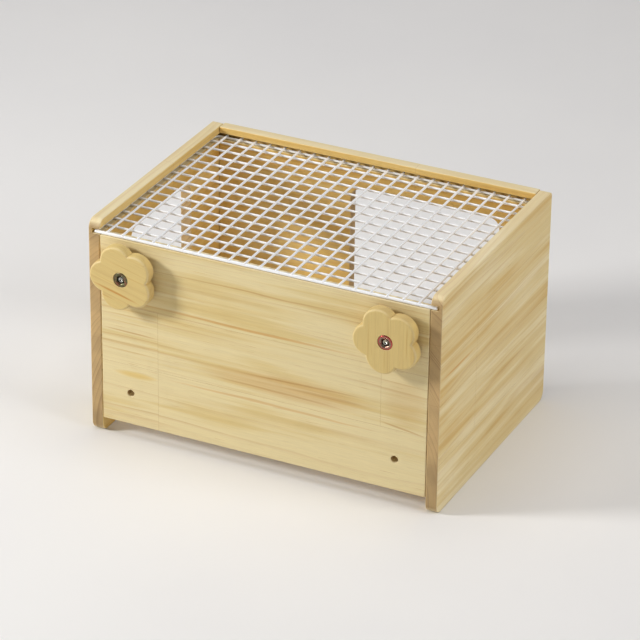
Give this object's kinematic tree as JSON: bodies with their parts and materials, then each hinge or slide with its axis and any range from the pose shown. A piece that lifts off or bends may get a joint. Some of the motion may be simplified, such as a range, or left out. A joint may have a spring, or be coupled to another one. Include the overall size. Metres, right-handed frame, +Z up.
{
  "type": "rabbit hutch",
  "caption": "Open-bottomed pine rabbit hutch with doorways at one side and the back, a sliding welded wire top, and flower knobs that clamp it to cage wires.",
  "frame": {"origin": "floor level, at the middle of the whole outline, which runs from the knobs' front faces to the back panel's outer face", "axes": "+X along the front from left to right as seen from the front, +Y from the front to the back, +Z up"},
  "size_m": [0.35, 0.262, 0.216],
  "materials": {
    "pine_side": "satin",
    "pine_front": "satin",
    "pine_back": "satin",
    "pine_knob": "satin",
    "beech_dowel": "matte",
    "white_coated_wire": "gloss",
    "plated_nut": "satin",
    "plated_bolt": "satin"
  },
  "bodies": {
    "hutch_box": {"left_side_panel": "pine_side", "right_side_panel": "pine_side", "front_panel": "pine_front", "back_panel": "pine_back", "dowel_front_left_low": "beech_dowel", "dowel_front_left_middle": "beech_dowel", "dowel_front_left_high": "beech_dowel", "dowel_front_right_low": "beech_dowel", "dowel_front_right_middle": "beech_dowel", "dowel_front_right_high": "beech_dowel", "dowel_back_left_low": "beech_dowel", "dowel_back_left_middle": "beech_dowel", "dowel_back_left_high": "beech_dowel", "dowel_back_right_low": "beech_dowel", "dowel_back_right_middle": "beech_dowel", "dowel_back_right_high": "beech_dowel", "bolt_left": "plated_bolt", "bolt_right": "plated_bolt", "washer_left": "plated_bolt", "washer_right": "plated_bolt"},
    "wire_top": {"wire_mesh_top": "white_coated_wire"},
    "nut_carrier_left": {"insert_nut_left": "plated_nut"},
    "knob_left_body": {"knob_left": "pine_knob"},
    "nut_carrier_right": {"insert_nut_right": "plated_nut"},
    "knob_right_body": {"knob_right": "pine_knob"}
  },
  "joints": [
    {"name": "wire_top_slide", "type": "slide", "parent": "hutch_box", "child": "wire_top", "axis": [0, -1, 0], "range_m": [0, 0.25]},
    {"name": "nut_travel_left", "type": "slide", "parent": "hutch_box", "child": "nut_carrier_left", "axis": [0, -1, 0], "range_m": [-0.0041, 0.0101]},
    {"name": "knob_turn_left", "type": "hinge", "parent": "nut_carrier_left", "child": "knob_left_body", "pos_m": [-0.134, -0.12525, 0.171], "axis": [0, -1, 0], "range_deg": [-1440, 3600]},
    {"name": "nut_travel_right", "type": "slide", "parent": "hutch_box", "child": "nut_carrier_right", "axis": [0, -1, 0], "range_m": [-0.0041, 0.0101]},
    {"name": "knob_turn_right", "type": "hinge", "parent": "nut_carrier_right", "child": "knob_right_body", "pos_m": [0.128, -0.12525, 0.1702], "axis": [0, -1, 0], "range_deg": [-1440, 3600]}
  ],
  "couplings": [
    {"joint": "nut_travel_left", "follows": "knob_turn_left", "m_per_rad": 0.00015915},
    {"joint": "nut_travel_right", "follows": "knob_turn_right", "m_per_rad": 0.00015915}
  ]
}
